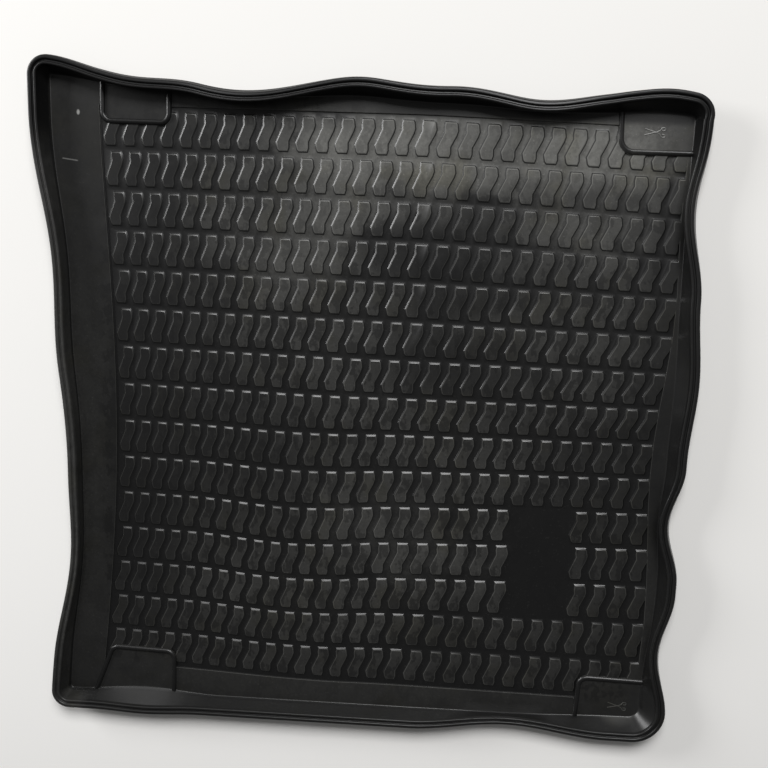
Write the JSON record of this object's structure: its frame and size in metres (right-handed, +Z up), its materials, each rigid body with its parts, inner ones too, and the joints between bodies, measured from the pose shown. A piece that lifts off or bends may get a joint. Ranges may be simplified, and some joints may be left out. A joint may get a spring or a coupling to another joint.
{
  "type": "car boot liner",
  "caption": "Shallow moulded rubber boot tray with a raised wavy rim, a double-bead lip, leaning tread blocks and outlined corner pads.",
  "frame": {"origin": "under the middle of the outline, on the plane that the flat underside rests on", "axes": "+Z up out of the tray, +X away from the plain sill border across the tray, +Y along the sill border towards the end whose corner sticks out least"},
  "size_m": [1.0264, 1.0534, 0.03],
  "materials": {
    "liner_rubber": "satin moulded, dusty and scuffed"
  },
  "bodies": {
    "root": {"boot_liner": "liner_rubber"}
  },
  "joints": []
}
